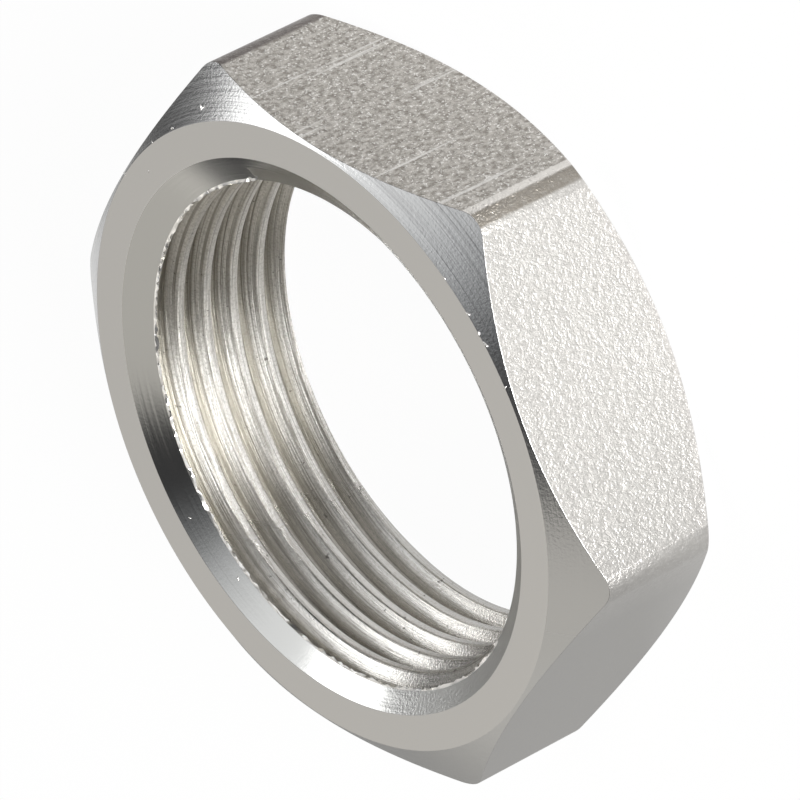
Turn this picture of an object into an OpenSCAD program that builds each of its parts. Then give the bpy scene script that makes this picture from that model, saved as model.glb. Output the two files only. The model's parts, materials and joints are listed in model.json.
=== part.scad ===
// Bulkhead lock nut: a thin hexagon nut turned from drawn bar, chamfered on both sides.
// All lengths are in millimetres. The nut lies on its rear face, with the origin at the
// centre of that face, and +Z runs along the hole towards the front face.

/* [Bar] */
// Distance across two opposite flats of the hexagon bar
across_flats = 19; // [18:0.5:24]
// Radius that the bar is drawn with on its six long corners
corner_radius = 0.95; // [0.2:0.05:2]

/* [Faces] */
// Thickness of the nut, from the rear face to the front face
thickness = 5.6; // [4:0.1:10]
// Step inwards from the flats to the edge of the flat ring on each face
ring_inset = 0.1; // [0:0.05:0.4]
// Slope of the turned chamfer outside the ring, measured from the face
chamfer_slope = 34; // [15:1:40]

/* [Thread] */
// Largest diameter of the thread, at the bottom of its grooves
thread_diameter = 16; // [12:0.5:17]
// Distance from one turn of the thread to the next
thread_pitch = 1; // [0.5:0.25:2]

/* [Countersinks] */
// Angle between opposite sides of the countersink cone
countersink_angle = 120; // [90:5:130]
// Depth of the countersink in the front face
front_countersink_depth = 0.5; // [0.2:0.05:0.7]
// Depth of the countersink in the rear face
rear_countersink_depth = 0.25; // [0.1:0.05:0.7]

/* [Hidden] */
$fn = 120;

SIDES = 6;
// How far a cutting tool runs past the surface that it cuts
overrun = 1;
steel_colour = [0.72, 0.71, 0.69];

// The hexagon: half across the flats, and half across its sharp corners
flat_reach = across_flats / 2;
corner_reach = flat_reach / cos(180 / SIDES);

// Each corner arc stands a hair past its two flats, so that it crosses them cleanly
arc_proud = 0.002;
arc_to_flat = corner_radius - arc_proud;
arc_centre_reach = (flat_reach - arc_to_flat) / cos(180 / SIDES);
arc_start = arc_centre_reach + arc_to_flat * cos(180 / SIDES);

// The chamfer cone starts at the ring and runs out past the rounded corners
ring_radius = flat_reach - ring_inset;
chamfer_drop = (corner_reach - ring_radius) * tan(chamfer_slope);

// A 60 degree thread leaves five eighths of its sharp height between groove and crest
thread_depth = thread_pitch * cos(30) * 5 / 8;
bore_radius = thread_diameter / 2 - thread_depth;
countersink_run = tan(countersink_angle / 2);

// What the drawing die takes off a sharp corner: the tip of the corner outside its arc
module corner_tip() {
    difference() {
        translate([arc_start, -corner_radius])
            square([corner_reach + overrun - arc_start, 2 * corner_radius]);
        translate([arc_centre_reach, 0])
            circle(corner_radius);
    }
}

// Section of the drawn bar: a hexagon with a flat square to +X and all its corners rounded
module bar_section() {
    difference() {
        rotate(180 / SIDES)
            circle(corner_reach, $fn = SIDES);
        for (i = [0 : SIDES - 1])
            rotate((i + 0.5) * 360 / SIDES)
                corner_tip();
    }
}

// Round blank with a chamfer cone at each end, as the lathe leaves it
module turned_blank() {
    rotate_extrude()
        polygon([
            [0, 0],
            [ring_radius, 0],
            [corner_reach, chamfer_drop],
            [corner_reach, thickness - chamfer_drop],
            [ring_radius, thickness],
            [0, thickness]
        ]);
}

// The hole as it is before tapping: a bore at the thread's crests, countersunk at both ends
module tapping_hole() {
    rotate_extrude()
        polygon([
            [0, -overrun],
            [bore_radius + (rear_countersink_depth + overrun) * countersink_run, -overrun],
            [bore_radius, rear_countersink_depth],
            [bore_radius, thickness - front_countersink_depth],
            [bore_radius + (front_countersink_depth + overrun) * countersink_run, thickness + overrun],
            [0, thickness + overrun]
        ]);
}

// The nut: what the bar and the turned blank share, less the hole
module lock_nut() {
    color(steel_colour)
        difference() {
            intersection() {
                linear_extrude(thickness) bar_section();
                turned_blank();
            }
            tapping_hole();
        }
}

lock_nut();
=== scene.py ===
# %% [markdown]
# Bulkhead lock nut
#
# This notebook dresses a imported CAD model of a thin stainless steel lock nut. The nut is
# turned from drawn hexagon bar, chamfered on both sides, countersunk and tapped with a fine
# thread. Each cell makes one piece or one finish, in the order that a workshop would.

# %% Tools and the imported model
import json
import math

import bpy
from mathutils import Matrix, Vector

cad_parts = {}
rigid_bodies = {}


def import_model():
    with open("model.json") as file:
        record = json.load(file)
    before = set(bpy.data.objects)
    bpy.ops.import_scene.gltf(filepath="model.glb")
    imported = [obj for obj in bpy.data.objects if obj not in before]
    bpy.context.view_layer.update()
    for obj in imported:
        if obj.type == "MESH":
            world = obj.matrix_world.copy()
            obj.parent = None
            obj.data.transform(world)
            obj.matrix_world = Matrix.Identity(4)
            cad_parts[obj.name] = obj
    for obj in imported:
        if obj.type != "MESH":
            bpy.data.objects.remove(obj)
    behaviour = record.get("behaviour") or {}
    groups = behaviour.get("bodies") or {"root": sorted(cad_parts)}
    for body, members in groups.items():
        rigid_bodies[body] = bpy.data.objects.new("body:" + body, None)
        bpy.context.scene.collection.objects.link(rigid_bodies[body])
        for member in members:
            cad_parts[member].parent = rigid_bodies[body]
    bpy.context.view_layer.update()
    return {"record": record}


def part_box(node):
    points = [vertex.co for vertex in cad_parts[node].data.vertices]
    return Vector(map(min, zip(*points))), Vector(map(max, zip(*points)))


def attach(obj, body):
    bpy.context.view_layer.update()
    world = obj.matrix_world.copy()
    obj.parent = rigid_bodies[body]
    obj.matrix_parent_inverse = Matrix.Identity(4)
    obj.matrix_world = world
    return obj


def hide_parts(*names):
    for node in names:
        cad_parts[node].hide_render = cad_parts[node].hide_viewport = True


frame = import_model()

# %% [markdown]
# Sizes
#
# Blender works in metres here and the nut is sold in millimetres, so one named constant turns
# one into the other. The width across flats, the thickness and the radius of the thread's
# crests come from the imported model. The rest repeats the values that its source gives.

# %% Sizes of the nut
MM = 0.001
_, high_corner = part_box("lock_nut")
thread_mount = next(m for m in frame["record"]["mounts"] if m["name"] == "thread")

FLAT_REACH = high_corner.x
THICKNESS = high_corner.z
CREST_RADIUS = thread_mount["dims"]["r_mm"] * MM
GROOVE_RADIUS = 8 * MM
PITCH = 1 * MM
CORNER_RADIUS = 0.95 * MM
RING_RADIUS = FLAT_REACH - 0.1 * MM
CHAMFER_SLOPE = math.radians(34)
COUNTERSINK_HALF_ANGLE = math.radians(60)
FRONT_COUNTERSINK = 0.5 * MM
REAR_COUNTERSINK = 0.25 * MM

SIXTH = math.radians(60)
CORNER_REACH = FLAT_REACH / math.cos(SIXTH / 2)
CHAMFER_DROP = (CORNER_REACH - RING_RADIUS) * math.tan(CHAMFER_SLOPE)
OVERRUN = 1 * MM
ROUND = 360
print("across flats", round(2 * FLAT_REACH / MM, 2), "mm, thick", round(THICKNESS / MM, 2), "mm")

# %% [markdown]
# Camera
#
# The photograph was taken with a long lens from over one corner, with the camera rolled, so
# the hexagon stands on a corner in the picture. A camera is set by the point that it looks
# at, the direction that it looks from, its distance and its roll. The lens is long because
# the far rim of the hole looks almost as large as the near one.

# %% Camera at the photograph's viewing angle
AIM = Vector((0.00001, -0.00012, 0.002656))
CAMERA_AZIMUTH = math.radians(-47.733)
CAMERA_ELEVATION = math.radians(33.564)
CAMERA_DISTANCE = 0.27925
CAMERA_ROLL = math.radians(-116.746)
LENS_MM = 452
SENSOR_MM = 36

towards_camera = Vector((
    math.cos(CAMERA_AZIMUTH) * math.cos(CAMERA_ELEVATION),
    math.sin(CAMERA_AZIMUTH) * math.cos(CAMERA_ELEVATION),
    math.sin(CAMERA_ELEVATION),
))
upright = (-towards_camera).to_track_quat("-Z", "Y").to_matrix()
bpy.ops.object.select_all(action="DESELECT")
bpy.ops.object.camera_add(location=AIM + towards_camera * CAMERA_DISTANCE)
camera = bpy.context.object
camera.rotation_euler = (upright @ Matrix.Rotation(CAMERA_ROLL, 3, "Z")).to_euler()
camera.data.lens = LENS_MM
camera.data.sensor_width = SENSOR_MM
camera.data.clip_start = 0.01
camera.data.clip_end = 20
bpy.context.scene.camera = camera
print("camera at", [round(v / MM, 1) for v in camera.location], "mm")

# %% [markdown]
# Helpers for editing
#
# An edit-mode operator works on whatever is selected, so small helpers do the selecting: one
# takes up a single piece, one opens all of it for editing, and one picks the vertices, edges
# or faces that pass a test. Another applies one piece to another as a cutting tool. The
# Boolean keeps the tool's own material on each face that it cuts, which is how a workshop
# works too: every surface shows the marks of the tool that made it.

# %% Take up, pick and cut
def take_up(piece):
    bpy.ops.object.select_all(action="DESELECT")
    piece.select_set(True)
    bpy.context.view_layer.objects.active = piece


def open_all(piece):
    """Open a piece in edit mode with all of it selected."""
    take_up(piece)
    bpy.ops.object.mode_set(mode="EDIT")
    bpy.ops.mesh.select_all(action="SELECT")


def pick(piece, kind, test):
    """Open a piece in edit mode with only the parts that pass the test selected."""
    take_up(piece)
    bpy.ops.object.mode_set(mode="EDIT")
    bpy.ops.mesh.select_mode(type=kind)
    bpy.ops.mesh.select_all(action="DESELECT")
    bpy.ops.object.mode_set(mode="OBJECT")
    parts = {"VERT": piece.data.vertices, "EDGE": piece.data.edges, "FACE": piece.data.polygons}
    for part in parts[kind]:
        part.select = test(part)
    count = sum(part.select for part in parts[kind])
    bpy.ops.object.mode_set(mode="EDIT")
    return count


def put_down():
    bpy.ops.object.mode_set(mode="OBJECT")


def machine(piece, tool, how):
    """Shape a piece with a solid tool, and put the tool away."""
    take_up(piece)
    step = piece.modifiers.new("machining", "BOOLEAN")
    step.operation = how
    step.object = tool
    step.solver = "EXACT"
    step.material_mode = "TRANSFER"
    bpy.ops.object.modifier_apply(modifier=step.name)
    bpy.data.objects.remove(tool)
    print("after machining:", len(piece.data.polygons), "faces")


# %% [markdown]
# Checking and mending
#
# A Boolean needs closed pieces and leaves a few tiny edges behind. These helpers count the
# open edges, merge vertices that lie close together, turn the faces outwards, and tell which
# finishes meet at each edge.

# %% Count, merge and turn outwards
def open_edges(piece):
    """Count the edges that don't join exactly two faces."""
    take_up(piece)
    bpy.ops.object.mode_set(mode="EDIT")
    bpy.ops.mesh.select_mode(type="EDGE")
    bpy.ops.mesh.select_all(action="DESELECT")
    bpy.ops.mesh.select_non_manifold(extend=False, use_non_contiguous=False)
    put_down()
    return sum(edge.select for edge in piece.data.edges)


def merge_close(piece, distance):
    open_all(piece)
    bpy.ops.mesh.remove_doubles(threshold=distance)
    put_down()


def face_outwards(piece):
    """Turn every face of a closed piece outwards."""
    open_all(piece)
    bpy.ops.mesh.normals_make_consistent(inside=False)
    put_down()


def finishes_at_edges(piece):
    """For each edge, the names of the finishes on the faces that share it."""
    names = [material.name for material in piece.data.materials]
    found = {}
    for face in piece.data.polygons:
        for key in face.edge_keys:
            found.setdefault(key, set()).add(names[face.material_index])
    return found


# %% [markdown]
# Six finishes
#
# The nut is one piece of steel, but five operations left their own surface on it: drawing the
# bar, turning the chamfers, facing the ends, countersinking and tapping. Each gets a material
# of its own, and the torn metal that the tap pushed up gets a sixth. They are made empty
# here, so that the tools can carry them, and filled later.

# %% Empty materials for the finishes
FINISHES = (
    "drawn_bar", "turned_chamfer", "faced_ring", "countersink", "cut_thread", "bright_burr",
)
steel = {name: bpy.data.materials.new(name) for name in FINISHES}
print("finishes:", ", ".join(steel))

# %% [markdown]
# Drawn hexagon bar
#
# The bar is a six-sided cylinder. Its first corner points along +Y, as the CAD model's does.
# A drawing die leaves the long corners rounded, so those six edges get a bevel. The bevel
# starts where a circle of the corner's radius touches the flats. Between faces that meet at
# 120 degrees a profile of 0.5 is a little too flat, and 0.536 gives a true arc. The bar is
# left long at both ends, because the lathe faces it to length next.

# %% Hexagon bar with rounded corners
CORNER_STEPS = 12
TRUE_ARC = 0.536
bpy.ops.object.select_all(action="DESELECT")
bpy.ops.mesh.primitive_cylinder_add(
    vertices=6, radius=CORNER_REACH, depth=THICKNESS + 2 * OVERRUN, location=(0, 0, THICKNESS / 2)
)
nut = bpy.context.object
nut.name = nut.data.name = "threaded_lock_nut"
bpy.ops.object.transform_apply(location=True, rotation=True, scale=True)
nut.data.materials.append(steel["drawn_bar"])


def is_long_corner(edge):
    start, end = (nut.data.vertices[i].co for i in edge.vertices)
    return abs(start.z - end.z) > OVERRUN


corners = pick(nut, "EDGE", is_long_corner)
bpy.ops.mesh.bevel(
    affect="EDGES", offset_type="OFFSET", offset=CORNER_RADIUS * math.tan(SIXTH / 2),
    segments=CORNER_STEPS, profile=TRUE_ARC, clamp_overlap=False,
)
put_down()
reached = max(vertex.co.y for vertex in nut.data.vertices)
print(corners, "corners rounded, bar reaches", round(reached / MM, 3), "mm")

# %% [markdown]
# Turned blank
#
# The lathe faces both ends and turns a 34 degree cone on each, and the cones leave the curved
# edges that every hexagon nut has. The quick way to that shape is to model what the lathe
# would make from round bar, and keep only what it shares with the hexagon. It is a cylinder
# whose two end faces are extruded outwards and drawn in to the radius of the flat ring.

# %% Blank with a chamfer cone at both ends
LEVEL = 0.99
bpy.ops.object.select_all(action="DESELECT")
bpy.ops.mesh.primitive_cylinder_add(
    vertices=ROUND, radius=CORNER_REACH, depth=THICKNESS - 2 * CHAMFER_DROP,
    location=(0, 0, THICKNESS / 2),
)
blank = bpy.context.object
bpy.ops.object.transform_apply(location=True, rotation=True, scale=True)
blank.data.materials.append(steel["turned_chamfer"])
blank.data.materials.append(steel["faced_ring"])
draw_in = RING_RADIUS / CORNER_REACH
for way in (1, -1):
    pick(blank, "FACE", lambda face: face.normal.z * way > LEVEL)
    bpy.ops.mesh.extrude_region_move(TRANSFORM_OT_translate={"value": (0, 0, way * CHAMFER_DROP)})
    bpy.ops.transform.resize(value=(draw_in, draw_in, 1), center_override=(0, 0, 0))
    put_down()
for face in blank.data.polygons:
    face.material_index = 1 if abs(face.normal.z) > LEVEL else 0
machine(nut, blank, "INTERSECT")

# %% [markdown]
# Countersinks
#
# A 120 degree cone cuts the mouth of the hole at each end, deeper at the front. Each cone is
# set with its point on the axis, at the height where its side passes through the wanted rim.

# %% Countersinks at both ends
for depth, way in ((FRONT_COUNTERSINK, 1), (REAR_COUNTERSINK, -1)):
    face_z = THICKNESS if way > 0 else 0
    rim_radius = CREST_RADIUS + depth * math.tan(COUNTERSINK_HALF_ANGLE)
    tip_z = face_z - way * rim_radius / math.tan(COUNTERSINK_HALF_ANGLE)
    cone_height = abs(face_z + way * OVERRUN - tip_z)
    cone_radius = cone_height * math.tan(COUNTERSINK_HALF_ANGLE)
    bpy.ops.object.select_all(action="DESELECT")
    bpy.ops.mesh.primitive_cone_add(
        vertices=ROUND, radius1=0 if way > 0 else cone_radius,
        radius2=cone_radius if way > 0 else 0, depth=cone_height,
        location=(0, 0, tip_z + way * cone_height / 2),
    )
    cone = bpy.context.object
    bpy.ops.object.transform_apply(location=True, rotation=True, scale=True)
    cone.data.materials.append(steel["countersink"])
    machine(nut, cone, "DIFFERENCE")
    print("countersink rim radius", round(rim_radius / MM, 3), "mm")

# %% [markdown]
# Broken edges
#
# No cut edge is perfectly sharp. A narrow bevel on the edges between two finishes catches the
# light as a thin line, as on the real nut. The Boolean leaves a few tiny edges where two cuts
# cross, so those are merged first. Every edge between faces of two finishes is then picked
# and bevelled by a hundredth of a millimetre.

# %% Break the edges between two finishes
EDGE_BREAK = 0.010 * MM
MERGE_TURNED = 0.012 * MM
merge_close(nut, MERGE_TURNED)
borders = {key for key, finishes in finishes_at_edges(nut).items() if len(finishes) > 1}
picked = pick(nut, "EDGE", lambda edge: tuple(sorted(edge.vertices)) in borders)
bpy.ops.mesh.bevel(
    affect="EDGES", offset_type="OFFSET", offset=EDGE_BREAK, segments=2, profile=0.5,
    clamp_overlap=False,
)
put_down()
print(picked, "edges broken, open edges:", open_edges(nut))

# %% [markdown]
# Tap
#
# The thread is cut by a tap, whose outline is the groove that it leaves. One pitch of that
# outline is drawn as a chain of vertices, from the middle of one crest to the middle of the
# next, and its corners are rounded by a vertex bevel. The Screw modifier then winds it up the
# axis one pitch a turn. The first and last turns stand clear of the nut and are closed with a
# cap, because a Boolean needs a solid tool.

# %% One pitch of the thread's outline
TURNS = 9
TURNS_BELOW = 2
STEPS_A_TURN = 360
CREST_HALF = PITCH * 0.125
ROOT_HALF = PITCH * 0.0625
FLANK_HEIGHT = PITCH / 2 - CREST_HALF - ROOT_HALF
GROOVE_DEPTH = GROOVE_RADIUS - CREST_RADIUS
THREAD_ROUNDING = 0.055 * MM
BETWEEN_THE_ENDS = 0.49 * PITCH
bpy.ops.object.select_all(action="DESELECT")
bpy.ops.mesh.primitive_plane_add(size=PITCH)
tap = bpy.context.object
pick(tap, "VERT", lambda vertex: True)
bpy.ops.mesh.merge(type="CENTER")
bpy.ops.transform.translate(value=(CREST_RADIUS, 0, -PITCH / 2))
for outwards, upwards in (
    (0, CREST_HALF), (GROOVE_DEPTH, FLANK_HEIGHT), (0, 2 * ROOT_HALF),
    (-GROOVE_DEPTH, FLANK_HEIGHT), (0, CREST_HALF),
):
    bpy.ops.mesh.extrude_vertices_move(
        TRANSFORM_OT_translate={"value": (outwards, 0, upwards)}
    )
put_down()
pick(tap, "VERT", lambda vertex: abs(vertex.co.z) < BETWEEN_THE_ENDS)
bpy.ops.mesh.bevel(affect="VERTICES", offset=THREAD_ROUNDING, segments=3)
put_down()
print("outline of", len(tap.data.vertices), "vertices")

# %% [markdown]
# Winding the tap
#
# The thread is right-handed, so it climbs as it turns anticlockwise. The photograph also
# shows where its crests meet the hole's rim, and the tap is raised until they agree.

# %% Wind the outline into a solid tap
CREST_HEIGHT = 0.91 * MM
MERGE_WOUND = 0.0005 * MM
CAP_RISE = 0.2 * MM
take_up(tap)
winding = tap.modifiers.new("winding", "SCREW")
winding.axis = "Z"
winding.angle = math.tau
winding.screw_offset = PITCH
winding.iterations = TURNS
winding.steps = winding.render_steps = STEPS_A_TURN
winding.use_smooth_shade = True
bpy.ops.object.modifier_apply(modifier=winding.name)
merge_close(tap, MERGE_WOUND)
face_outwards(tap)
middle_z = sum(v.co.z for v in tap.data.vertices) / len(tap.data.vertices)
for way in (-1, 1):
    open_edges(tap)
    rim = {
        edge.index for edge in tap.data.edges
        if edge.select and (tap.data.vertices[edge.vertices[0]].co.z - middle_z) * way > 0
    }
    pick(tap, "EDGE", lambda edge: edge.index in rim)
    bpy.ops.mesh.extrude_edges_move(TRANSFORM_OT_translate={"value": (0, 0, way * CAP_RISE)})
    bpy.ops.mesh.merge(type="CENTER")
    put_down()
face_outwards(tap)
open_all(tap)
bpy.ops.transform.translate(value=(0, 0, CREST_HEIGHT + PITCH / 2 - (TURNS_BELOW + 1) * PITCH))
put_down()
tap.data.materials.append(steel["cut_thread"])
print("tap of", len(tap.data.polygons), "faces, open edges:", open_edges(tap))

# %% Cut the thread
MERGE_TAPPED = 0.001 * MM
machine(nut, tap, "DIFFERENCE")
merge_close(nut, MERGE_TAPPED)
print("open edges after tapping:", open_edges(nut))

# %% [markdown]
# Burr at the start of the thread
#
# The tap pushes up a ragged burr where it breaks into the countersink, and in the photograph
# it shows as a sparkling beaded line along the far side of the hole. On that side the edge
# between the two finishes is bevelled, the new strip is raised off the metal, and its
# vertices are moved at random by a few hundredths of a millimetre. The seed is fixed, so the
# burr is the same every time.

# %% Raise a ragged burr
BURR_WIDTH = 0.052 * MM
BURR_RISE = 0.050 * MM
BURR_RAGGED = 0.052 * MM
BURR_FROM, BURR_TO = 24, 245
MERGE_AT_RIM = 0.004 * MM


def is_burred(edge):
    start = nut.data.vertices[edge.vertices[0]].co
    azimuth = math.degrees(math.atan2(start.y, start.x)) % 360
    return tuple(sorted(edge.vertices)) in rim and BURR_FROM < azimuth < BURR_TO


merge_close(nut, MERGE_AT_RIM)
nut.data.materials.append(steel["bright_burr"])
rim = {
    key for key, finishes in finishes_at_edges(nut).items()
    if finishes == {"countersink", "cut_thread"}
    and nut.data.vertices[key[0]].co.z > THICKNESS / 2
}
picked = pick(nut, "EDGE", is_burred)
bpy.ops.mesh.bevel(
    affect="EDGES", offset_type="OFFSET", offset=BURR_WIDTH, segments=3, profile=0.5,
    clamp_overlap=False, material=len(nut.data.materials) - 1,
)
bpy.ops.mesh.select_less()
bpy.ops.transform.shrink_fatten(value=BURR_RISE)
bpy.ops.transform.vertex_random(offset=BURR_RAGGED, uniform=0.5, seed=7)
put_down()
print(picked, "edges of burr, open edges:", open_edges(nut))

# %% [markdown]
# Flecks of swarf
#
# A few tiny flecks of metal cling to the front face, most of them on the outer edge of the
# ring. One fleck is modelled as a stretched sphere with its vertices moved a little. It is
# then copied, and each copy is turned and set down where the photograph shows one. Each
# place in the list is an azimuth in degrees, a distance from the axis in millimetres, a turn
# in degrees and a size. A fleck on the chamfer or in the countersink sits lower, by the slope
# of the cone there.

# %% Scatter the flecks
FLECK_LENGTH = 0.075 * MM
FLECK_THICK = 0.028 * MM
FLECK_RAGGED = 0.3 * FLECK_THICK
FLECK_PLACES = (
    (52.6, 8.88, 0, 0.7), (59.2, 9.42, 60, 0.9), (39.9, 9.47, 130, 1.0), (47.0, 9.43, 40, 0.6),
    (-40.5, 9.42, 80, 1.2), (-44.4, 9.40, 10, 1.3), (-46.3, 9.43, 60, 1.5), (-54.1, 9.40, 140, 0.9),
    (31.0, 9.72, 15, 2.0), (151.1, 7.83, 30, 0.9), (134.9, 8.05, 90, 0.8), (-33.5, 9.41, 50, 0.7),
)


def front_height(radius):
    """Height of the front of the nut at a distance from its axis."""
    rim = CREST_RADIUS + FRONT_COUNTERSINK * math.tan(COUNTERSINK_HALF_ANGLE)
    if radius > RING_RADIUS:
        return THICKNESS - (radius - RING_RADIUS) * math.tan(CHAMFER_SLOPE)
    return THICKNESS - max(0, rim - radius) / math.tan(COUNTERSINK_HALF_ANGLE)


bpy.ops.object.select_all(action="DESELECT")
bpy.ops.mesh.primitive_uv_sphere_add(segments=10, ring_count=6, radius=FLECK_THICK)
fleck = bpy.context.object
pick(fleck, "VERT", lambda vertex: True)
bpy.ops.transform.resize(value=(FLECK_LENGTH / FLECK_THICK, 1, 1))
bpy.ops.transform.vertex_random(offset=FLECK_RAGGED, seed=3)
put_down()
fleck.data.materials.append(steel["bright_burr"])
flecks = []
for azimuth, reach_mm, turn, size in FLECK_PLACES:
    take_up(fleck)
    bpy.ops.object.duplicate(linked=False)
    copy = bpy.context.object
    round_to, radius = math.radians(azimuth), reach_mm * MM
    copy.location = (
        radius * math.cos(round_to), radius * math.sin(round_to), front_height(radius)
    )
    copy.rotation_euler = (0, 0, math.radians(turn))
    copy.scale = (size, min(size, 1), min(size, 1))
    bpy.ops.object.transform_apply(location=True, rotation=True, scale=True)
    flecks.append(copy)
bpy.data.objects.remove(fleck)
bpy.ops.object.select_all(action="DESELECT")
for copy in flecks:
    copy.select_set(True)
bpy.context.view_layer.objects.active = flecks[0]
bpy.ops.object.join()
swarf = bpy.context.object
swarf.name = swarf.data.name = "swarf_flecks"
bpy.ops.object.shade_smooth()
print(len(flecks), "flecks, open edges:", open_edges(swarf))

# %% [markdown]
# Shading
#
# The cones and the thread should look round and the flats should look flat. Smooth shading
# with a weighted normal does both: at every vertex the largest face decides, so the narrow
# bevels turn the light and the broad faces stay true.

# %% Smooth shading that keeps the flats flat
SMOOTH_BELOW = math.radians(40)
take_up(nut)
bpy.ops.object.shade_smooth_by_angle(angle=SMOOTH_BELOW)
weighting = nut.modifiers.new("weighting", "WEIGHTED_NORMAL")
weighting.mode = "FACE_AREA"
weighting.keep_sharp = True
bpy.ops.object.modifier_apply(modifier=weighting.name)
print("sharp edges kept:", sum(edge.use_edge_sharp for edge in nut.data.edges))

# %% [markdown]
# True normals on the turned faces
#
# Where the thread cuts into the countersink it leaves long thin faces, and an averaged normal
# is wrong on those. A turned face is a cone, whose normal is known at every point: it leans
# out from the axis, or in towards it, by the cone's slope. So the corners of the faces that
# lie on a cone or on a flat end get that normal, and the rest keep the averaged one.

# %% Normals from the shape itself
LEAN = {
    "turned_chamfer": math.sin(CHAMFER_SLOPE),
    "countersink": -math.cos(COUNTERSINK_HALF_ANGLE),
    "faced_ring": 0,
}
ON_THE_SURFACE = math.cos(math.radians(4))


def turned_normal(finish, place, upwards):
    lean = LEAN[finish]
    outwards = Vector((place.x, place.y, 0)).normalized()
    return (outwards * lean + Vector((0, 0, upwards * math.sqrt(1 - lean * lean)))).normalized()


corner_normals = [Vector(corner.vector) for corner in nut.data.corner_normals]
corrected = 0
for face in nut.data.polygons:
    finish = nut.data.materials[face.material_index].name
    if finish not in LEAN:
        continue
    upwards = 1 if face.normal.z > 0 else -1
    if face.normal.dot(turned_normal(finish, face.center, upwards)) < ON_THE_SURFACE:
        continue
    for corner in face.loop_indices:
        place = nut.data.vertices[nut.data.loops[corner].vertex_index].co
        corner_normals[corner] = turned_normal(finish, place, upwards)
    corrected += 1
nut.data.normals_split_custom_set(corner_normals)
print("faces with their true normals:", corrected, "of", len(nut.data.polygons))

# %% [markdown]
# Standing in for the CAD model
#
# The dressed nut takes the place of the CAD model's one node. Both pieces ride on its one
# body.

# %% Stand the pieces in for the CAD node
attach(nut, "root")
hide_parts("lock_nut")
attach(swarf, "root")
print("pieces:", nut.name, "and", swarf.name)

# %% [markdown]
# Node helpers
#
# A material is a chain of small nodes, so a few helpers keep each link short to write. One
# adds a node with a label, and one fills an input, with a plain value or with the output of
# another node. The others add the kinds of node that come back often, first sums.

# %% Nodes, inputs and sums
def add_node(tree, kind, label, **settings):
    node = tree.nodes.new(kind)
    node.label = label
    for key, value in settings.items():
        setattr(node, key, value)
    return node


def plug(tree, socket, value):
    """Fill an input, with a plain value or with the output of another node."""
    if isinstance(value, bpy.types.NodeSocket):
        tree.links.new(value, socket)
    else:
        socket.default_value = value


def math_node(tree, operation, *values, clamp=False):
    node = add_node(tree, "ShaderNodeMath", operation.lower(), operation=operation)
    node.use_clamp = clamp
    for socket, value in zip(node.inputs, values):
        plug(tree, socket, value)
    return node.outputs[0]


def times(tree, first, *others):
    """Multiply values and masks, one after the other."""
    for other in others:
        first = math_node(tree, "MULTIPLY", first, other)
    return first


def vector_node(tree, operation, label, *values, scale=None):
    node = add_node(tree, "ShaderNodeVectorMath", label, operation=operation)
    for socket, value in zip(node.inputs, values):
        plug(tree, socket, value)
    if scale is not None:
        plug(tree, node.inputs["Scale"], scale)
    return node.outputs["Value" if operation in ("LENGTH", "DOT_PRODUCT") else "Vector"]


# %% [markdown]
# Places and patterns
#
# A finish changes from place to place, so it has to know where on the nut it is. These
# helpers read that place, take its x, y and z apart or put them together again, and make
# noise from it. A ramp turns a range of values into a mask with soft ends.

# %% Places, noise and ramps
def axes_of(tree, vector, label="x, y and z"):
    node = add_node(tree, "ShaderNodeSeparateXYZ", label)
    tree.links.new(vector, node.inputs[0])
    return node.outputs


def combine(tree, label, **axes):
    node = add_node(tree, "ShaderNodeCombineXYZ", label)
    for axis, value in axes.items():
        tree.links.new(value, node.inputs[axis])
    return node.outputs[0]


def place_on_nut(tree):
    return add_node(tree, "ShaderNodeTexCoord", "place on the nut").outputs["Object"]


def noise(tree, label, where, scale, detail, roughness=0.5):
    node = add_node(tree, "ShaderNodeTexNoise", label)
    plug(tree, node.inputs["Vector"], where)
    plug(tree, node.inputs["Scale"], scale)
    node.inputs["Detail"].default_value = detail
    node.inputs["Roughness"].default_value = roughness
    return node.outputs["Fac"]


def ramp(tree, value, low, high, to_low, to_high, way="LINEAR"):
    """Turn the values between low and high into those between to_low and to_high."""
    node = add_node(tree, "ShaderNodeMapRange", "ramp", interpolation_type=way)
    names = ("Value", "From Min", "From Max", "To Min", "To Max")
    for name, given in zip(names, (value, low, high, to_low, to_high)):
        plug(tree, node.inputs[name], given)
    return node.outputs[0]


# %% [markdown]
# Mixes and groups
#
# A mask blends two colours or two shaders. A chain that is used more than once becomes a node
# group, with sockets of its own for what changes from one use to the next.

# %% Mixes and groups
def mix_colour(tree, mask, first, second):
    """Blend two colours by a mask. Each is three plain numbers or another node's output."""
    node = tree.nodes.new("ShaderNodeMix")
    node.data_type = "RGBA"
    tree.links.new(mask, node.inputs["Factor"])
    for socket, value in ((node.inputs[6], first), (node.inputs[7], second)):
        plug(tree, socket, (*value, 1) if isinstance(value, tuple) else value)
    return node.outputs[2]


def mix_shaders(tree, share, first, second):
    node = tree.nodes.new("ShaderNodeMixShader")
    for socket, value in zip(node.inputs, (share, first, second)):
        tree.links.new(value, socket)
    return node.outputs[0]


def new_group(name, output, inputs):
    """Start a node group with one output. Return its tree, its inputs and its output."""
    tree = bpy.data.node_groups.new(name, "ShaderNodeTree")
    for label, kind, value in inputs:
        socket = tree.interface.new_socket(label, in_out="INPUT", socket_type=kind)
        if value is not None:
            socket.default_value = value
    tree.interface.new_socket(output, in_out="OUTPUT", socket_type="NodeSocketFloat")
    start, end = tree.nodes.new("NodeGroupInput"), tree.nodes.new("NodeGroupOutput")
    return tree, start.outputs, end.inputs[output]


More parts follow.
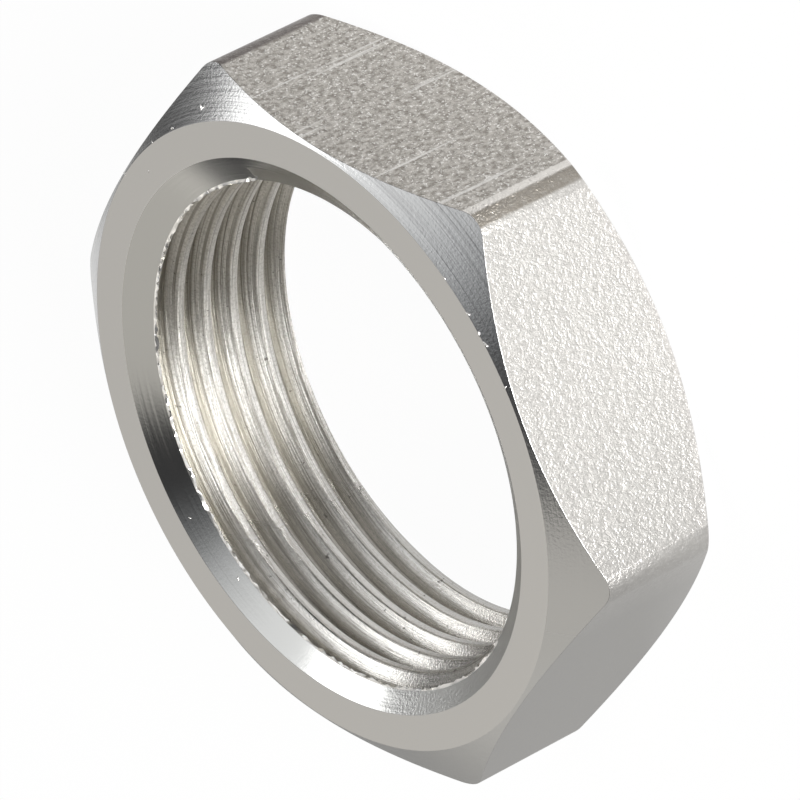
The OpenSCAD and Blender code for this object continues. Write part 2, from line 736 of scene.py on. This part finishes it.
# %% [markdown]
# Shared patterns
#
# Several finishes use the same effects, so each is a node group with its own inputs: grain,
# which is noise that can be stretched along the bar, turning marks, which are rings about the
# nut's axis, and a mask that goes from 0 to 1 between two distances from the axis. They read
# Object coordinates, so they stay on the metal from every side.

# %% Grain group
grain, g_in, g_out = new_group("metal_grain", "Height", [
    ("Stretch", "NodeSocketVector", (1, 1, 1)), ("Size", "NodeSocketFloat", 4000.0),
])
stretched = vector_node(grain, "MULTIPLY", "stretch", place_on_nut(grain), g_in["Stretch"])
height = noise(grain, "grain", stretched, g_in["Size"], detail=3, roughness=0.6)
grain.links.new(height, g_out)

# %% Turning mark group
SLOW_CHANGE = 120
turning, t_in, t_out = new_group("turning_marks", "Height", [
    ("Rings a millimetre", "NodeSocketFloat", 12.0), ("Wander", "NodeSocketFloat", 0.5),
])
at = axes_of(turning, place_on_nut(turning))
flat = combine(turning, "x and y only", X=at["X"], Y=at["Y"])
radius = vector_node(turning, "LENGTH", "distance from the axis", flat)
slow = vector_node(turning, "SCALE", "slow change round the nut", flat, scale=SLOW_CHANGE)
slow = axes_of(turning, slow, "slow x and y")
rings_at = combine(
    turning, "ring pattern place",
    X=times(turning, radius, 1 / MM, t_in["Rings a millimetre"]),
    Y=times(turning, slow["X"], t_in["Wander"]),
    Z=times(turning, slow["Y"], t_in["Wander"]),
)
turning.links.new(noise(turning, "rings", rings_at, scale=1, detail=2), t_out)

# %% Group for a mask by distance from the axis
reach, r_in, r_out = new_group("mask_by_reach", "Mask", [
    ("From mm", "NodeSocketFloat", 10.68), ("To mm", "NodeSocketFloat", 10.74),
])
flat = vector_node(
    reach, "MULTIPLY", "x and y in millimetres", place_on_nut(reach), (1 / MM, 1 / MM, 0)
)
radius = vector_node(reach, "LENGTH", "distance from the axis", flat)
mask = ramp(reach, radius, r_in["From mm"], r_in["To mm"], 0, 1, "SMOOTHSTEP")
reach.links.new(mask, r_out)
print("groups:", [tree.name for tree in bpy.data.node_groups])


# %% [markdown]
# Finish helpers
#
# Every finish starts as the same plain steel shader with its own colour and roughness. The
# groups above are then placed in it as patterns, and some of them are pressed into the
# surface as bumps. In the finishes that follow, a name that ends in SIDE or CORNER says
# between which two places on the nut a mask sets in, one that ends in AT says between which
# two heights of a pattern a mark begins, and one that ends in SHARE says how strong it gets.

# %% Start a finish, place a pattern, press in bumps
def start_finish(material, colour, roughness):
    """Give a material a plain steel shader, and return its node tree and shader node."""
    material.use_nodes = True
    tree = material.node_tree
    shader = tree.nodes["Principled BSDF"]
    shader.inputs["Base Color"].default_value = (*colour, 1)
    shader.inputs["Metallic"].default_value = 1
    shader.inputs["Roughness"].default_value = roughness
    return tree, shader


def pattern(tree, group, **values):
    """Use a node group with its own values, and return its output."""
    node = tree.nodes.new("ShaderNodeGroup")
    node.node_tree = group
    node.label = group.name
    for name, value in values.items():
        plug(tree, node.inputs[name.replace("_", " ")], value)
    return node.outputs[0]


def add_bumps(tree, shader, *layers):
    """Press patterns into the surface, one over the other, each to its own depth."""
    normal = None
    for height, depth in layers:
        bump = tree.nodes.new("ShaderNodeBump")
        bump.inputs["Strength"].default_value = 1
        bump.inputs["Distance"].default_value = depth
        tree.links.new(height, bump.inputs["Height"])
        if normal is not None:
            tree.links.new(normal, bump.inputs["Normal"])
        normal = bump.outputs["Normal"]
    tree.links.new(normal, shader.inputs["Normal"])


# %% [markdown]
# Drawn bar
#
# The flats keep the bar's own skin: a pitted grain, and a few long scratches along the bar.
# The bright specks in the grain are painted glints. The grain is strong on the flats to the
# right of the nut and fades out towards -X, to a smoother flat below them. The right flat,
# which faces the low soft box, is coloured paler as painted light. The two long corners at +X
# are coloured darker as painted shade where they mirror dark surroundings, and the lower one
# has a painted highlight line at its upper edge.

# %% Masks for the drawn bar
GRAINY_SIDE = (-2 * MM, 1 * MM)
TOP_FLAT = (9.30 * MM, 9.45 * MM)
RIGHT_CORNERS = (7 * MM, 9 * MM)
LOWER_CORNER, UPPER_CORNER = (-4 * MM, -5 * MM), (4.88 * MM, 4.98 * MM)
LINE_ACROSS, LINE_DOWN = (9.44 * MM, 9.47 * MM), (-4.5 * MM, -4.6 * MM)
PATCHY_AT, PAINTED_GLINT_AT, SCRATCH_AT = (0.35, 0.55), (0.58, 0.62), (0.61, 0.65)
SMOOTH_SIDE_SHARE = 0.08
PATCHY_SHARE = 0.72
MARK_SHARE = 0.9
tree, shader = start_finish(steel["drawn_bar"], (0.52, 0.49, 0.45), 0.36)
at = axes_of(tree, place_on_nut(tree))
coarse = pattern(tree, grain, Stretch=(1.0, 1.0, 0.75), Size=6000.0)
fine = pattern(tree, grain, Stretch=(1.0, 1.0, 0.9), Size=15000.0)
scratch = pattern(tree, grain, Stretch=(1.0, 1.0, 0.03), Size=2600.0)
grainy = ramp(tree, at["X"], *GRAINY_SIDE, SMOOTH_SIDE_SHARE, 1)
top_flat = ramp(tree, at["X"], *TOP_FLAT, 0, 1)
at_right = ramp(tree, at["X"], *RIGHT_CORNERS, 0, 1)
patchy = ramp(tree, coarse, *PATCHY_AT, PATCHY_SHARE, 1)
# painted glints: bright specks of colour that stand in for sparkling highlights
painted_glint_mask = ramp(tree, fine, *PAINTED_GLINT_AT, 0, MARK_SHARE)
scratched = times(tree, ramp(tree, scratch, *SCRATCH_AT, 0, MARK_SHARE), top_flat)

# painted shade: dark bands on the two long corners at +X, where they mirror dark surroundings
lower_corner = pattern(tree, reach, From_mm=10.785, To_mm=10.808)
lower_side = times(tree, ramp(tree, at["Y"], *LOWER_CORNER, 0, 1), at_right)
lower_corner_shade_mask = times(tree, lower_corner, lower_side, patchy)
upper_side = ramp(tree, at["Y"], *UPPER_CORNER, 0, 1)
upper_corner_shade_mask = times(tree, upper_side, at_right, patchy)
# painted highlight: a bright line at the upper edge of the lower corner
line_start = pattern(tree, reach, From_mm=10.69, To_mm=10.715)
line_end = pattern(tree, reach, From_mm=10.78, To_mm=10.80)
highlight_line_mask = math_node(tree, "SUBTRACT", line_start, line_end, clamp=True)
highlight_line_mask = times(
    tree, highlight_line_mask, ramp(tree, at["X"], *LINE_ACROSS, 0, 1), ramp(tree, at["Y"], *LINE_DOWN, 0, 1)
)

# %% Colours and relief of the drawn bar
GRAIN_DARK, GRAIN_PALE = (0.31, 0.286, 0.255), (0.585, 0.556, 0.517)
GRAIN_TURNS_PALE = (0.38, 0.60)
# colour of the painted glints
PAINTED_GLINT = (0.95, 0.93, 0.90)
# painted light: the right flat is coloured paler because it faces the low soft box
RIGHT_FLAT_PAINTED_LIGHT = (0.65, 0.635, 0.612)
SMOOTH_SKIN = (0.49, 0.48, 0.46)
SCRATCH = (0.78, 0.76, 0.73)
# colours of the painted shade on the two corners at +X
LOWER_CORNER_PAINTED_SHADE, UPPER_CORNER_PAINTED_SHADE = (0.31, 0.285, 0.25), (0.17, 0.15, 0.14)
# colour of the painted highlight line
CORNER_PAINTED_HIGHLIGHT = (0.80, 0.77, 0.73)
RIGHT_FLAT_LIGHT_SHARE = 0.75
GRAIN_DEPTH = 0.075 * MM
FINE_SHARE = 0.5
RIGHT_FLAT_RELIEF = 0.5

pale = ramp(tree, coarse, *GRAIN_TURNS_PALE, 0, 1)
toned = mix_colour(tree, pale, GRAIN_DARK, GRAIN_PALE)
# lay the painted glints over the grain
toned = mix_colour(tree, painted_glint_mask, toned, PAINTED_GLINT)
# painted light on the right flat
right_flat_light_mask = ramp(tree, top_flat, 0, 1, RIGHT_FLAT_LIGHT_SHARE, 0)
toned = mix_colour(tree, right_flat_light_mask, toned, RIGHT_FLAT_PAINTED_LIGHT)
toned = mix_colour(tree, grainy, SMOOTH_SKIN, toned)
for mask, colour in (
    (scratched, SCRATCH), (lower_corner_shade_mask, LOWER_CORNER_PAINTED_SHADE), (upper_corner_shade_mask, UPPER_CORNER_PAINTED_SHADE),
    (highlight_line_mask, CORNER_PAINTED_HIGHLIGHT),
):
    toned = mix_colour(tree, mask, toned, colour)
tree.links.new(toned, shader.inputs["Base Color"])
rough = math_node(tree, "ADD", coarse, times(tree, fine, FINE_SHARE))
rough = times(tree, rough, ramp(tree, top_flat, 0, 1, RIGHT_FLAT_RELIEF, 1), grainy)
add_bumps(tree, shader, (rough, GRAIN_DEPTH))
print("drawn bar:", len(tree.nodes), "nodes")

# %% [markdown]
# Turned faces
#
# The chamfers were turned with a sharp tool at a fine feed. The marks run round the axis, so
# they are rings with a little wander, over a smooth and fairly glossy surface. The corners
# towards -X are duller, the marks are faint at the corner on -Y, and the two corners at +X
# show a few darker furrows. The flat ring is finer, and the countersink is torn towards -Y.

# %% Turned chamfer
DULL_SIDE, FURROWED_SIDE = (-3.5 * MM, -1 * MM), (3 * MM, 6 * MM)
DULL, GLOSSY = 0.42, 0.22
MINUS_Y_CORNER = (-9.6 * MM, -8.0 * MM)
FAINT_SHARE, FURROW_SHARE = 0.3, 0.3
FURROW_AT = (0.40, 0.46)
SPECK_SIZE = 11000.0
BARE_CHAMFER, FURROW = (0.61, 0.61, 0.605), (0.32, 0.315, 0.31)
CHAMFER_MARKS = 0.010 * MM
CHAMFER_SPECKS = 0.006 * MM
tree, shader = start_finish(steel["turned_chamfer"], (0.60, 0.60, 0.595), GLOSSY)
at = axes_of(tree, place_on_nut(tree))
dull = ramp(tree, at["X"], *DULL_SIDE, DULL, GLOSSY)
tree.links.new(dull, shader.inputs["Roughness"])
feed = pattern(tree, turning, Rings_a_millimetre=8.0, Wander=0.6)
furrow = ramp(tree, feed, *FURROW_AT, FURROW_SHARE, 0)
furrow = times(tree, furrow, ramp(tree, at["X"], *FURROWED_SIDE, 0, 1))
toned = mix_colour(tree, furrow, BARE_CHAMFER, FURROW)
tree.links.new(toned, shader.inputs["Base Color"])
marks = pattern(tree, turning, Rings_a_millimetre=14.0, Wander=1.0)
marks = times(tree, marks, ramp(tree, at["Y"], *MINUS_Y_CORNER, FAINT_SHARE, 1))
speck = pattern(tree, grain, Size=SPECK_SIZE)
add_bumps(tree, shader, (marks, CHAMFER_MARKS), (speck, CHAMFER_SPECKS))
print("turned chamfer:", len(tree.nodes), "nodes")

# %% Faced ring
RING_MARKS = 0.001 * MM
tree, shader = start_finish(steel["faced_ring"], (0.61, 0.60, 0.58), 0.38)
marks = pattern(tree, turning, Rings_a_millimetre=18.0, Wander=0.5)
add_bumps(tree, shader, (marks, RING_MARKS))
print("faced ring:", len(tree.nodes), "nodes")

# %% Countersink
TORN_SIDE = (-2.5 * MM, -5 * MM)
CLEAN_CUT, TORN_CUT = 0.16, 0.36
CLEAN_SIDE_SHARE = 0.08
COUNTERSINK_MARKS = 0.004 * MM
COUNTERSINK_TEARS = 0.018 * MM
tree, shader = start_finish(steel["countersink"], (0.60, 0.60, 0.585), CLEAN_CUT)
at = axes_of(tree, place_on_nut(tree))
torn_side = ramp(tree, at["Y"], *TORN_SIDE, 0, 1)
tree.links.new(ramp(tree, torn_side, 0, 1, CLEAN_CUT, TORN_CUT), shader.inputs["Roughness"])
marks = pattern(tree, turning, Rings_a_millimetre=9.0, Wander=1.4)
speck = pattern(tree, grain, Size=SPECK_SIZE)
torn = times(tree, speck, ramp(tree, torn_side, 0, 1, CLEAN_SIDE_SHARE, 1))
add_bumps(tree, shader, (marks, COUNTERSINK_MARKS), (torn, COUNTERSINK_TEARS))
print("countersink:", len(tree.nodes), "nodes")

# %% [markdown]
# Cut thread
#
# A tap tears fine lines along the thread. They follow the helix, so the pattern is read by
# the turn: the height is measured from the helix itself, and its place within one pitch is
# wound onto a circle, so that the pattern has no seam. The same lines stretch the highlights
# across themselves, so the shader is anisotropic about the way round the hole.

# %% Thread line group
lines, l_in, l_out = new_group("thread_lines", "Height", [
    ("Across", "NodeSocketFloat", 5.0), ("Along", "NodeSocketFloat", 260.0),
])
at = axes_of(lines, place_on_nut(lines))
round_angle = math_node(lines, "ARCTAN2", at["Y"], at["X"])
pitch_angle = times(lines, at["Z"], math.tau / PITCH)
phase = math_node(lines, "SUBTRACT", pitch_angle, round_angle)
wound = combine(
    lines, "place within the pitch",
    X=times(lines, math_node(lines, "COSINE", phase), l_in["Across"]),
    Y=times(lines, math_node(lines, "SINE", phase), l_in["Across"]),
)
drift = vector_node(
    lines, "SCALE", "slow change along the thread", place_on_nut(lines), scale=l_in["Along"]
)
where = vector_node(lines, "ADD", "pattern place", wound, drift)
height = noise(lines, "torn lines", where, scale=1, detail=4, roughness=0.65)
lines.links.new(height, l_out)

# %% [markdown]
# Colour of the thread
#
# The grooves darken towards their roots with a brown tint, partly cutting oil and partly
# painted shade in the recess. The half of the hole towards +X is coloured darker as painted
# shade. Darker streaks, hairs, freckles and a few pits lie along the torn lines. The side
# furthest towards -X was cut cleanly: it is smoother there and has little of all this.
# Where the first turn runs out at the mouth of the hole it matches the countersink.

# %% Masks for the cut thread
SHEEN = 0.80
QUARTER_TURN = 0.25
MOUTH_HEIGHT = (THICKNESS - 0.7 * MM, THICKNESS - 0.5 * MM)
MOUTH_SIDE = (6.2 * MM, 6.8 * MM)
RAGGED_SIDE, SHADED_SIDE = (-7.2 * MM, -5.6 * MM), (-2.6 * MM, -0.4 * MM)
STREAK_AT, HAIR_AT, FRECKLE_AT = (0.42, 0.47), (0.42, 0.48), (0.42, 0.50)
PIT_AT = (0.69, 0.71)
CLEAN_SHARE, SIDE_SHADE_SHARE, PIT_SHARE = 0.4, 0.55, 0.8
STREAK_SHARE, HAIR_SHARE, FRECKLE_SHARE = 0.7, 0.5, 0.35
tree, shader = start_finish(steel["cut_thread"], (0.56, 0.54, 0.50), 0.25)
round_way = add_node(
    tree, "ShaderNodeTangent", "way round the hole", direction_type="RADIAL", axis="Z"
)
tree.links.new(round_way.outputs["Tangent"], shader.inputs["Tangent"])
shader.inputs["Anisotropic"].default_value = SHEEN
shader.inputs["Anisotropic Rotation"].default_value = QUARTER_TURN
at = axes_of(tree, place_on_nut(tree))
torn_lines = pattern(tree, lines, Across=1.9, Along=110.0)
hair_lines = pattern(tree, lines, Across=6.0, Along=150.0)
speck = pattern(tree, grain, Size=13000.0)
pit = pattern(tree, grain, Size=4500.0)
deep = pattern(tree, reach, From_mm=7.68, To_mm=7.90)
mouth = ramp(tree, at["Z"], *MOUTH_HEIGHT, 0, 1)
mouth = times(tree, mouth, ramp(tree, at["X"], *MOUTH_SIDE, 0, 1))
inside = math_node(tree, "SUBTRACT", 1.0, mouth)
torn_part = times(tree, inside, ramp(tree, at["X"], *RAGGED_SIDE, CLEAN_SHARE, 1))
# partly brown oil tint, partly painted shade: darker towards the groove roots
oil_and_shade_mask = times(tree, deep, torn_part)
# painted shade: the half of the hole towards +X is darkened
side_shade_mask = times(tree, ramp(tree, at["X"], *SHADED_SIDE, 0, SIDE_SHADE_SHARE), inside)
streak = times(tree, ramp(tree, torn_lines, *STREAK_AT, STREAK_SHARE, 0), torn_part)
hair = times(tree, ramp(tree, hair_lines, *HAIR_AT, HAIR_SHARE, 0), torn_part)
freckle = times(tree, ramp(tree, speck, *FRECKLE_AT, FRECKLE_SHARE, 0), torn_part)
pitted = ramp(tree, pit, *PIT_AT, 0, PIT_SHARE)

# %% Colours, roughness and relief of the cut thread
# the groove colour is partly a brown oil tint and partly painted shade
CUT_BRIGHT, OIL_AND_GROOVE_SHADE = (0.75, 0.735, 0.705), (0.38, 0.36, 0.315)
# colour of the painted shade over the half of the hole towards +X
PAINTED_SIDE_SHADE = (0.44, 0.42, 0.38)
STREAK_BROWN = (0.22, 0.205, 0.175)
FRECKLE_BROWN = (0.25, 0.235, 0.20)
PIT_DARK = (0.12, 0.11, 0.10)
MOUTH_STEEL = (0.60, 0.60, 0.585)
ROUGHER_SIDE = (-7.2 * MM, -5.4 * MM)
SMOOTH_CUT, ROUGH_CUT = 0.16, 0.36
MOUTH_POLISH = 0.18
TORN_DEPTH = 0.036 * MM
HAIR_DEPTH = 0.026 * MM
SPECK_DEPTH = 0.010 * MM

toned = mix_colour(tree, oil_and_shade_mask, CUT_BRIGHT, OIL_AND_GROOVE_SHADE)
for mask, colour in (
    (side_shade_mask, PAINTED_SIDE_SHADE), (streak, STREAK_BROWN), (hair, STREAK_BROWN),
    (freckle, FRECKLE_BROWN), (pitted, PIT_DARK), (mouth, MOUTH_STEEL),
):
    toned = mix_colour(tree, mask, toned, colour)
tree.links.new(toned, shader.inputs["Base Color"])
cut = ramp(tree, at["X"], *ROUGHER_SIDE, SMOOTH_CUT, ROUGH_CUT)
cut = math_node(tree, "SUBTRACT", cut, times(tree, mouth, MOUTH_POLISH))
tree.links.new(cut, shader.inputs["Roughness"])
add_bumps(
    tree, shader, (times(tree, torn_lines, torn_part), TORN_DEPTH),
    (times(tree, hair_lines, torn_part), HAIR_DEPTH), (times(tree, speck, inside), SPECK_DEPTH),
)
print("cut thread:", len(tree.nodes), "nodes")

# %% [markdown]
# Burr and swarf
#
# The burr and the flecks are freshly torn metal, so they are brighter than the thread and
# have no marks.

# %% Burr
start_finish(steel["bright_burr"], (0.90, 0.89, 0.87), 0.25)

# %% [markdown]
# Floor
#
# The photograph has a plain white ground. The floor is white by its own colour, and where a
# camera or mirror ray meets it most of its white is a plain strength of 1, so it stays white
# without more light on the nut. The rest is lit as usual and keeps the nut's soft shadow.
# Bare steel also mirrors the floor further off, which in a studio is a good deal darker than
# the lit paper under the product, so for mirror rays the white fades out round the nut. It
# is also a little dimmer on the side away from the lamps.

# %% Floor
FLOOR_SIDE = 3.0
PAPER_WHITE = (0.95, 0.95, 0.95, 1)
PAPER_ROUGHNESS = 0.9
PLAIN_SHARE = 0.96
FADE_FROM = 14 * MM
FADE_TO = 50 * MM
FAR_FLOOR = 0.45
DIM_WAY = (-0.899, -0.438, 0.0)
DIM_FROM = 0 * MM
DIM_TO = 9 * MM
DIM_FLOOR = 0.58
bpy.ops.object.select_all(action="DESELECT")
bpy.ops.mesh.primitive_plane_add(size=FLOOR_SIDE, location=(0, 0, 0))
floor = bpy.context.object
floor.name = "pale_floor"
white = bpy.data.materials.new("pale_floor_white")
white.use_nodes = True
tree = white.node_tree
lit = tree.nodes["Principled BSDF"]
lit.inputs["Base Color"].default_value = PAPER_WHITE
lit.inputs["Roughness"].default_value = PAPER_ROUGHNESS
lit.inputs["Specular IOR Level"].default_value = 0
place = tree.nodes.new("ShaderNodeTexCoord").outputs["Object"]
far = vector_node(tree, "LENGTH", "distance from the nut", place)
fade = ramp(tree, far, FADE_FROM, FADE_TO, 1, FAR_FLOOR, "SMOOTHSTEP")
away = vector_node(tree, "DOT_PRODUCT", "distance away from the lamps", place, DIM_WAY)
dim = ramp(tree, away, DIM_FROM, DIM_TO, 1, DIM_FLOOR)
rays = tree.nodes.new("ShaderNodeLightPath").outputs
strength = math_node(tree, "MAXIMUM", times(tree, fade, dim), rays["Is Camera Ray"])
plain = tree.nodes.new("ShaderNodeEmission")
plain.inputs["Color"].default_value = (1, 1, 1, 1)
tree.links.new(strength, plain.inputs["Strength"])
seen = math_node(tree, "MAXIMUM", rays["Is Camera Ray"], rays["Is Glossy Ray"])
seen = math_node(tree, "MAXIMUM", seen, rays["Is Transmission Ray"])
both = mix_shaders(tree, times(tree, seen, PLAIN_SHARE), lit.outputs[0], plain.outputs[0])
tree.links.new(both, tree.nodes["Material Output"].inputs["Surface"])
floor.data.materials.append(white)
print("floor of", FLOOR_SIDE, "m, white fades over", round((FADE_TO - FADE_FROM) / MM), "mm")

# %% [markdown]
# Studio light
#
# Bare steel shows what stands round it, so the light is the larger half of the finish. Two
# soft boxes do the lighting: a high one to one side, whose reflection makes the white sweep
# across the chamfer and countersink, and a low wide one that lights the right flat and the
# far wall of the thread. Each box's brightness is given as a mirror would show it.

# %% Directions and soft boxes
BOX_DISTANCE = 0.6


def direction(azimuth, elevation):
    turn, lift = math.radians(azimuth), math.radians(elevation)
    return Vector(
        (math.cos(turn) * math.cos(lift), math.sin(turn) * math.cos(lift), math.sin(lift))
    )


def soft_box(name, azimuth, elevation, wide, tall, radiance):
    """Hang a soft box that faces the nut. Its size is in degrees as the nut sees it."""
    way = direction(azimuth, elevation)
    bpy.ops.object.select_all(action="DESELECT")
    bpy.ops.object.light_add(type="AREA", location=way * BOX_DISTANCE)
    box = bpy.context.object
    box.name = name
    box.rotation_euler = way.to_track_quat("Z", "Y").to_euler()
    box.data.shape = "RECTANGLE"
    box.data.size = 2 * BOX_DISTANCE * math.tan(math.radians(wide / 2))
    box.data.size_y = 2 * BOX_DISTANCE * math.tan(math.radians(tall / 2))
    box.data.energy = radiance * math.pi * box.data.size * box.data.size_y
    print(name, "of", round(box.data.energy, 2), "watts")


soft_box("high_soft_box", azimuth=77, elevation=39, wide=20, tall=29, radiance=2.2)
soft_box("low_soft_box", azimuth=-72, elevation=16, wide=36, tall=28, radiance=21.0)

# %% [markdown]
# Grey room
#
# The rest of the room is soft grey. It is painted in the world as eight round patches with
# soft edges. The broad ones are a pale wall to the left of the nut and a nearer wall to the
# right, and the small ones are glows round the lamps and along the horizon. The ceiling is
# left dark between them, which gives the dark stripe in the countersink. One node group
# makes a patch from its middle direction, its size and the width of its edge.

# %% Patch group
patch, p_in, p_out = new_group("room_patch", "Mask", [
    ("Look", "NodeSocketVector", None), ("Middle", "NodeSocketVector", None),
    ("Radius", "NodeSocketFloat", 20.0), ("Edge", "NodeSocketFloat", 10.0),
])
facing = vector_node(patch, "DOT_PRODUCT", "nearness", p_in["Look"], p_in["Middle"])
angle = math_node(patch, "DEGREES", math_node(patch, "ARCCOSINE", facing))
soft = math_node(patch, "SUBTRACT", p_in["Radius"], angle)
soft = math_node(patch, "DIVIDE", soft, p_in["Edge"])
patch.links.new(math_node(patch, "ADD", soft, 0.5, clamp=True), p_out)

# %% Room light
ROOM_GREY = (0.04, 0.04, 0.042)
PATCHES = (
    ("pale_wall", direction(-178, 42), 34, 8, (0.60, 0.58, 0.54)),
    ("box_glow", direction(60, 54), 21, 20, (1.05, 1.06, 1.07)),
    ("ceiling_glow", direction(10, 72), 12, 14, (0.37, 0.38, 0.39)),
    ("ring_light", direction(128, 36), 20, 14, (0.67, 0.655, 0.63)),
    ("low_glow", direction(98, 22), 8, 8, (0.30, 0.30, 0.30)),
    ("far_low_wall", direction(172, 2), 17, 10, (0.36, 0.35, 0.33)),
    ("low_horizon", direction(120, 6), 12, 10, (0.38, 0.37, 0.35)),
    ("near_wall", direction(-40, 5), 45, 20, (0.55, 0.54, 0.52)),
)
world = bpy.data.worlds.new("grey_room")
bpy.context.scene.world = world
world.use_nodes = True
tree = world.node_tree
tree.nodes.clear()
look = tree.nodes.new("ShaderNodeTexCoord").outputs["Generated"]
total = ROOM_GREY
for name, middle, size, edge, colour in PATCHES:
    spot = pattern(tree, patch, Look=look, Middle=tuple(middle), Radius=size, Edge=edge)
    total = vector_node(tree, "MULTIPLY_ADD", name, spot, colour, total)
room = tree.nodes.new("ShaderNodeBackground")
tree.links.new(total, room.inputs["Color"])
backdrop = tree.nodes.new("ShaderNodeBackground")
backdrop.inputs["Color"].default_value = (1, 1, 1, 1)
rays = tree.nodes.new("ShaderNodeLightPath").outputs
both = mix_shaders(tree, rays["Is Camera Ray"], room.outputs[0], backdrop.outputs[0])
tree.links.new(both, tree.nodes.new("ShaderNodeOutputWorld").inputs["Surface"])
print("patches of light in the room:", len(PATCHES))

# %% [markdown]
# Colour
#
# The Standard view shows each colour as it is written.

# %% Finish
bpy.context.scene.view_settings.view_transform = "Standard"
